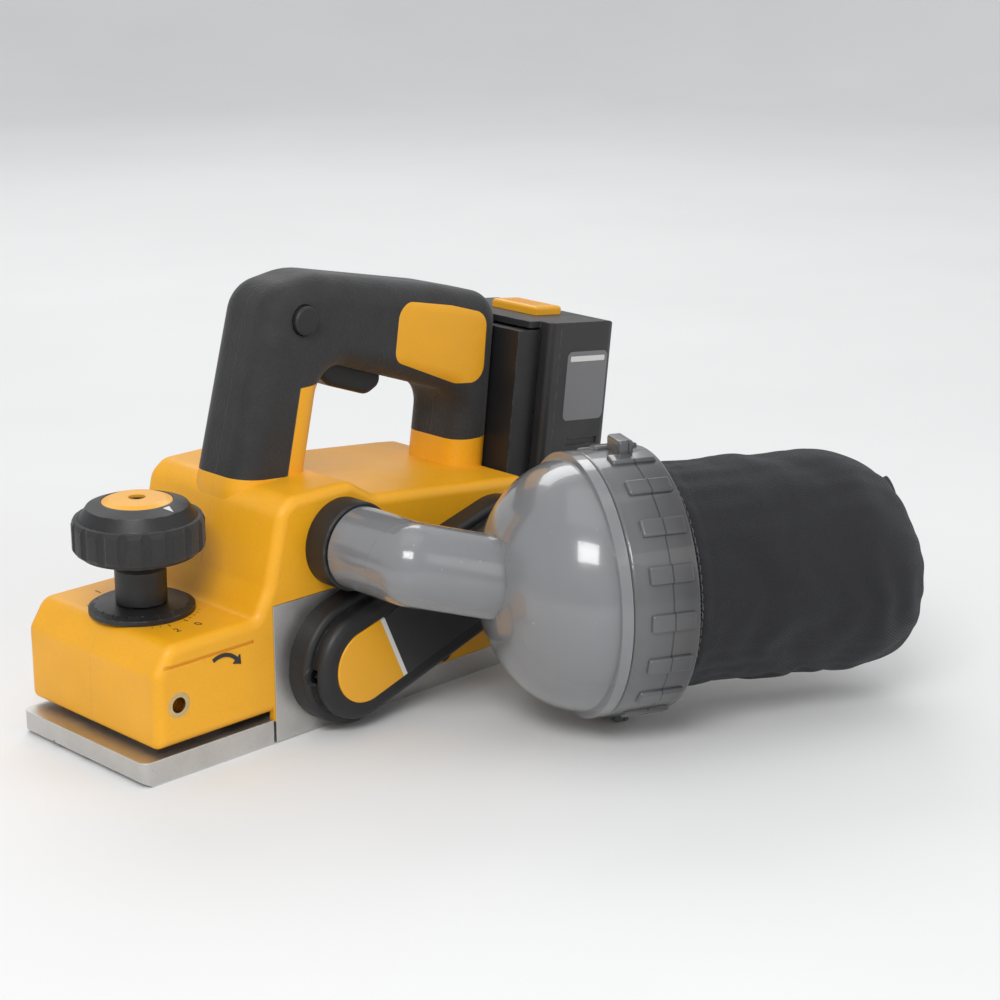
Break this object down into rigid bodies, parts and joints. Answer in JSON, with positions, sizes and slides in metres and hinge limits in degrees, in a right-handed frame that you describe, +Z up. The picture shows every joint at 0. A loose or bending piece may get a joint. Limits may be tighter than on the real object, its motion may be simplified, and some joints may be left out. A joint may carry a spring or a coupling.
{
  "type": "cordless hand planer",
  "caption": "Cordless electric hand planer with top handle, depth knob, belt-driven cutter drum, slide-on battery and a side-mounted dust bag.",
  "frame": {"origin": "on the sole plane and the tool's centreline, at the middle of the rear shoe", "axes": "+X towards the rear of the tool, +Y towards the tool's right side, +Z up; the dust bag is on the left, -Y side"},
  "size_m": [0.3279, 0.2709, 0.1914],
  "materials": {
    "yellow_housing": "satin moulded",
    "black_grip": "matte, fine texture",
    "black_plastic": "fine spark texture",
    "cast_aluminium": "ground sole, cast sides",
    "steel": "machined",
    "dark_steel": "black oxide",
    "copper_windings": "enamelled copper wire",
    "belt_rubber": "ribbed rubber",
    "badge_label": "printed film",
    "battery_black": "moulded",
    "cell_sleeve": "shrink sleeve over cells",
    "smoke_clear": "smoky translucent plastic",
    "smoke_ring": "dark translucent plastic",
    "bag_cloth": "woven polyester",
    "pin_brass": "plated contact",
    "red_button": "moulded",
    "seal_rubber": "soft seal"
  },
  "bodies": {
    "planer_body": {"housing_left": "yellow_housing", "housing_right": "yellow_housing", "grip_left": "black_grip", "grip_right": "black_grip", "base_casting": "cast_aluminium", "base_screws": "dark_steel", "kickstand_pin": "steel", "battery_mount": "black_plastic", "battery_terminals": "pin_brass", "depth_collar": "black_plastic", "shoe_spring": "steel", "drum_bearing_left": "steel", "drum_bearing_right": "steel", "drum_bearing_cap": "black_plastic", "belt_cover": "black_plastic", "belt_cover_badge": "badge_label", "belt_cover_screws": "dark_steel", "drive_belt": "belt_rubber", "motor_frame": "black_plastic", "motor_stator": "dark_steel", "motor_windings": "copper_windings", "motor_bearing_left": "steel", "motor_bearing_right": "steel", "vent_grille": "black_plastic", "chip_chute": "black_plastic", "port_collar": "black_plastic", "trigger_pin": "steel", "trigger_switch": "black_plastic", "controller": "cast_aluminium", "housing_screws": "dark_steel", "fence_inserts": "pin_brass"},
    "depth_knob": {"knob_body": "black_plastic", "knob_grip_ring": "black_grip", "knob_cap": "badge_label", "knob_screw": "dark_steel", "depth_spindle": "steel"},
    "front_shoe": {"front_shoe": "cast_aluminium", "shoe_nut": "steel"},
    "cutter_drum": {"cutter_drum": "cast_aluminium", "cutter_blades": "steel", "blade_clamps": "dark_steel", "blade_screws": "dark_steel", "drum_pulley": "steel"},
    "motor_rotor": {"motor_rotor": "dark_steel", "motor_shaft": "steel", "motor_pulley": "steel", "cooling_fan": "black_plastic"},
    "trigger": {"trigger": "black_plastic"},
    "lock_off_button": {"lock_off_button": "black_plastic"},
    "battery": {"battery_case": "battery_black", "battery_rail_cover": "battery_black", "battery_cells": "cell_sleeve", "battery_screws": "dark_steel"},
    "battery_release": {"battery_release_button": "badge_label"},
    "kickstand": {"kickstand": "black_plastic"},
    "nozzle_seal": {"nozzle_seal": "seal_rubber"},
    "bag_dome": {"bag_dome": "smoke_clear", "bag_nozzle": "smoke_clear"},
    "bag_ring": {"bag_ring": "smoke_ring", "dust_bag": "bag_cloth"}
  },
  "joints": [
    {"name": "depth_knob_turn", "type": "hinge", "parent": "planer_body", "child": "depth_knob", "pos_m": [-0.164, 0, 0.09], "axis": [0, 0, 1], "range_deg": [0, 340]},
    {"name": "front_shoe_lift", "type": "slide", "parent": "planer_body", "child": "front_shoe", "axis": [0, 0, 1], "range_m": [0, 0.002], "deforming": ["shoe_spring"]},
    {"name": "drum_spin", "type": "hinge", "parent": "planer_body", "child": "cutter_drum", "pos_m": [-0.094, 0, 0.024], "axis": [0, 1, 0], "continuous": true},
    {"name": "motor_spin", "type": "hinge", "parent": "planer_body", "child": "motor_rotor", "pos_m": [-0.004, 0, 0.054], "axis": [0, 1, 0], "continuous": true},
    {"name": "trigger_pull", "type": "hinge", "parent": "planer_body", "child": "trigger", "pos_m": [-0.066, 0, 0.157], "axis": [0, -1, 0], "range_deg": [0, 8], "stiffness_Nm_per_rad": 1.2, "springref_deg": -4.58},
    {"name": "lock_off_press", "type": "slide", "parent": "planer_body", "child": "lock_off_button", "axis": [0, 1, 0], "range_m": [0, 0.002], "stiffness_N_per_m": 800, "springref_m": -0.001},
    {"name": "battery_slide", "type": "slide", "parent": "planer_body", "child": "battery", "axis": [0.1219, 0, 0.9925], "range_m": [0, 0.1]},
    {"name": "battery_release_press", "type": "slide", "parent": "battery", "child": "battery_release", "axis": [-0.1219, 0, -0.9925], "range_m": [0, 0.003], "stiffness_N_per_m": 900, "springref_m": -0.001},
    {"name": "kickstand_fold", "type": "hinge", "parent": "planer_body", "child": "kickstand", "pos_m": [0.054, 0, 0.0056], "axis": [0, 1, 0], "range_deg": [0, 50]},
    {"name": "bag_pull_off", "type": "slide", "parent": "planer_body", "child": "nozzle_seal", "axis": [0, -1, 0], "range_m": [0, 0.06]},
    {"name": "bag_swivel", "type": "hinge", "parent": "nozzle_seal", "child": "bag_dome", "pos_m": [-0.092, -0.07, 0.0825], "axis": [0, 1, 0], "range_deg": [-90, 0]},
    {"name": "bag_ring_twist", "type": "hinge", "parent": "bag_dome", "child": "bag_ring", "pos_m": [-0.02312, -0.12312, 0.0649], "axis": [0.9063, -0.4226, 0], "range_deg": [0, 15]}
  ],
  "couplings": [
    {"joint": "depth_knob_turn", "follows": "front_shoe_lift", "rad_per_m": 2967},
    {"joint": "motor_spin", "follows": "drum_spin", "ratio": 1.5}
  ]
}
